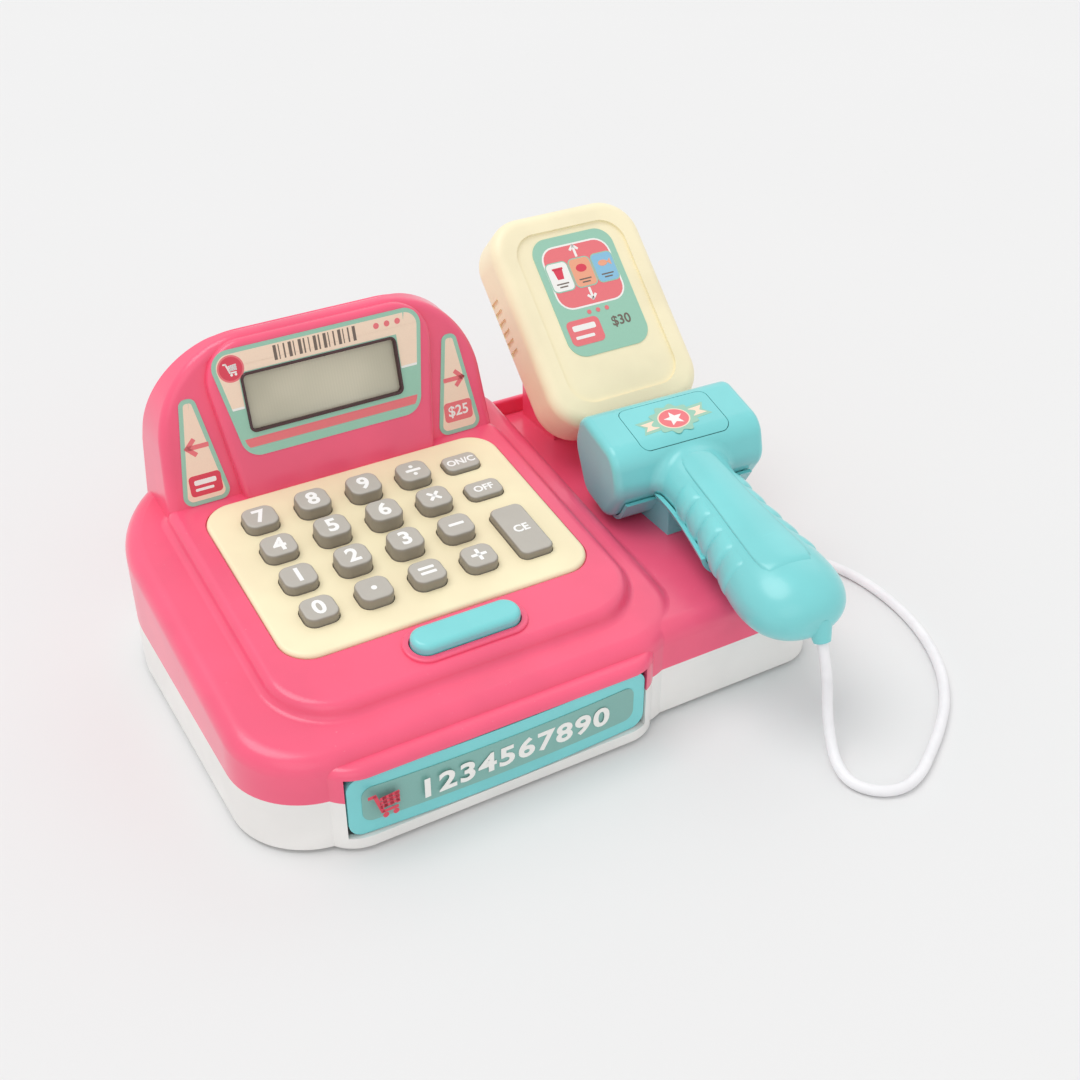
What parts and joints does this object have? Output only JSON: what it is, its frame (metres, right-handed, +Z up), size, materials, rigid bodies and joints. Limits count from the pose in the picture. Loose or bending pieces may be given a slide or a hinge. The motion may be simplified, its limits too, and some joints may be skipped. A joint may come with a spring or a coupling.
{
  "type": "toy cash register",
  "caption": "Toy cash register with a keypad, display hood, sprung money drawer, price screen and a hand scanner that rests in a cradle on a cord.",
  "frame": {"origin": "on the surface it stands on, under the middle of the base's plan", "axes": "+X to the user's right, +Y to the back, +Z up"},
  "size_m": [0.2863, 0.2677, 0.1314],
  "materials": {
    "white_shell": "satin moulded plastic",
    "white_plastic": "fine moulded texture",
    "pink_shell": "soft gloss moulded plastic",
    "cream_plastic": "soft gloss moulded plastic",
    "teal_plastic": "gloss moulded plastic",
    "grey_key": "satin, printed legends",
    "latch_plastic": "plain",
    "black_rubber": "matt",
    "steel": "bright",
    "battery_case": "printed sleeve",
    "circuit_board": "lacquered",
    "printed_label": "laminated print",
    "clear_lens": "clear plastic",
    "display_panel": "unlit display",
    "speaker_body": "plain",
    "cord_jacket": "smooth white jacket"
  },
  "bodies": {
    "root": {"base_shell": "white_shell", "batteries": "battery_case", "battery_contacts": "steel", "battery_door": "white_plastic", "case_screws": "steel", "cord_grommet": "white_plastic", "display_hood": "pink_shell", "display_label": "printed_label", "display_lens": "clear_lens", "display_module": "display_panel", "drawer_spring": "steel", "key_board": "circuit_board", "keypad_plate": "cream_plastic", "latch_pin": "steel", "main_board": "circuit_board", "rear_cover": "pink_shell", "rubber_feet": "black_rubber", "rubber_key_mat": "black_rubber", "scanner_cord": "cord_jacket", "scanner_cradle": "teal_plastic", "screen_back_shell": "cream_plastic", "screen_front_shell": "cream_plastic", "screen_label": "printed_label", "screen_stand": "pink_shell", "side_label_left": "printed_label", "side_label_right": "printed_label", "speaker": "speaker_body", "top_housing": "pink_shell"},
    "drawer": {"drawer_box": "white_shell", "drawer_front": "teal_plastic", "drawer_label": "printed_label"},
    "scanner": {"scanner_upper_shell": "teal_plastic", "scanner_lower_shell": "teal_plastic", "scanner_window": "clear_lens", "scanner_board": "circuit_board", "cord_gland": "teal_plastic"},
    "key_0": {"key_0": "grey_key"},
    "key_1": {"key_1": "grey_key"},
    "key_2": {"key_2": "grey_key"},
    "key_3": {"key_3": "grey_key"},
    "key_4": {"key_4": "grey_key"},
    "key_5": {"key_5": "grey_key"},
    "key_6": {"key_6": "grey_key"},
    "key_7": {"key_7": "grey_key"},
    "key_8": {"key_8": "grey_key"},
    "key_9": {"key_9": "grey_key"},
    "key_clear_entry": {"key_clear_entry": "grey_key"},
    "key_divide": {"key_divide": "grey_key"},
    "key_equals": {"key_equals": "grey_key"},
    "key_minus": {"key_minus": "grey_key"},
    "key_off": {"key_off": "grey_key"},
    "key_on_clear": {"key_on_clear": "grey_key"},
    "key_plus": {"key_plus": "grey_key"},
    "key_point": {"key_point": "grey_key"},
    "key_times": {"key_times": "grey_key"},
    "release_button": {"release_button": "teal_plastic"},
    "drawer_latch": {"drawer_latch": "latch_plastic"},
    "scan_button": {"scan_button": "teal_plastic"}
  },
  "joints": [
    {"name": "drawer_slide", "type": "slide", "parent": "root", "child": "drawer", "axis": [0, -1, 0], "range_m": [0, 0.075]},
    {"name": "release_press", "type": "slide", "parent": "root", "child": "release_button", "axis": [0, 0.1256, -0.9921], "range_m": [0, 0.002], "stiffness_N_per_m": 600, "springref_m": -0.0008},
    {"name": "latch_rock", "type": "hinge", "parent": "root", "child": "drawer_latch", "pos_m": [-0.0265, -0.072, 0.035], "axis": [1, 0, 0], "range_deg": [-7, 0]},
    {"name": "scanner_lift", "type": "slide", "parent": "root", "child": "scanner", "axis": [0, 0, 1], "range_m": [0, 0.12]},
    {"name": "scan_press", "type": "slide", "parent": "scanner", "child": "scan_button", "axis": [0.0558, 0.1167, -0.9916], "range_m": [0, 0.0012], "stiffness_N_per_m": 500, "springref_m": -0.0008},
    {"name": "key_0_press", "type": "slide", "parent": "root", "child": "key_0", "axis": [0, 0.1256, -0.9921], "range_m": [0, 0.0016], "stiffness_N_per_m": 400, "springref_m": -0.0008},
    {"name": "key_1_press", "type": "slide", "parent": "root", "child": "key_1", "axis": [0, 0.1256, -0.9921], "range_m": [0, 0.0016], "stiffness_N_per_m": 400, "springref_m": -0.0008},
    {"name": "key_2_press", "type": "slide", "parent": "root", "child": "key_2", "axis": [0, 0.1256, -0.9921], "range_m": [0, 0.0016], "stiffness_N_per_m": 400, "springref_m": -0.0008},
    {"name": "key_3_press", "type": "slide", "parent": "root", "child": "key_3", "axis": [0, 0.1256, -0.9921], "range_m": [0, 0.0016], "stiffness_N_per_m": 400, "springref_m": -0.0008},
    {"name": "key_4_press", "type": "slide", "parent": "root", "child": "key_4", "axis": [0, 0.1256, -0.9921], "range_m": [0, 0.0016], "stiffness_N_per_m": 400, "springref_m": -0.0008},
    {"name": "key_5_press", "type": "slide", "parent": "root", "child": "key_5", "axis": [0, 0.1256, -0.9921], "range_m": [0, 0.0016], "stiffness_N_per_m": 400, "springref_m": -0.0008},
    {"name": "key_6_press", "type": "slide", "parent": "root", "child": "key_6", "axis": [0, 0.1256, -0.9921], "range_m": [0, 0.0016], "stiffness_N_per_m": 400, "springref_m": -0.0008},
    {"name": "key_7_press", "type": "slide", "parent": "root", "child": "key_7", "axis": [0, 0.1256, -0.9921], "range_m": [0, 0.0016], "stiffness_N_per_m": 400, "springref_m": -0.0008},
    {"name": "key_8_press", "type": "slide", "parent": "root", "child": "key_8", "axis": [0, 0.1256, -0.9921], "range_m": [0, 0.0016], "stiffness_N_per_m": 400, "springref_m": -0.0008},
    {"name": "key_9_press", "type": "slide", "parent": "root", "child": "key_9", "axis": [0, 0.1256, -0.9921], "range_m": [0, 0.0016], "stiffness_N_per_m": 400, "springref_m": -0.0008},
    {"name": "key_clear_entry_press", "type": "slide", "parent": "root", "child": "key_clear_entry", "axis": [0, 0.1256, -0.9921], "range_m": [0, 0.0016], "stiffness_N_per_m": 400, "springref_m": -0.0008},
    {"name": "key_divide_press", "type": "slide", "parent": "root", "child": "key_divide", "axis": [0, 0.1256, -0.9921], "range_m": [0, 0.0016], "stiffness_N_per_m": 400, "springref_m": -0.0008},
    {"name": "key_equals_press", "type": "slide", "parent": "root", "child": "key_equals", "axis": [0, 0.1256, -0.9921], "range_m": [0, 0.0016], "stiffness_N_per_m": 400, "springref_m": -0.0008},
    {"name": "key_minus_press", "type": "slide", "parent": "root", "child": "key_minus", "axis": [0, 0.1256, -0.9921], "range_m": [0, 0.0016], "stiffness_N_per_m": 400, "springref_m": -0.0008},
    {"name": "key_off_press", "type": "slide", "parent": "root", "child": "key_off", "axis": [0, 0.1256, -0.9921], "range_m": [0, 0.0016], "stiffness_N_per_m": 400, "springref_m": -0.0008},
    {"name": "key_on_clear_press", "type": "slide", "parent": "root", "child": "key_on_clear", "axis": [0, 0.1256, -0.9921], "range_m": [0, 0.0016], "stiffness_N_per_m": 400, "springref_m": -0.0008},
    {"name": "key_plus_press", "type": "slide", "parent": "root", "child": "key_plus", "axis": [0, 0.1256, -0.9921], "range_m": [0, 0.0016], "stiffness_N_per_m": 400, "springref_m": -0.0008},
    {"name": "key_point_press", "type": "slide", "parent": "root", "child": "key_point", "axis": [0, 0.1256, -0.9921], "range_m": [0, 0.0016], "stiffness_N_per_m": 400, "springref_m": -0.0008},
    {"name": "key_times_press", "type": "slide", "parent": "root", "child": "key_times", "axis": [0, 0.1256, -0.9921], "range_m": [0, 0.0016], "stiffness_N_per_m": 400, "springref_m": -0.0008}
  ],
  "couplings": [
    {"joint": "latch_rock", "follows": "release_press", "rad_per_m": -61.077}
  ]
}
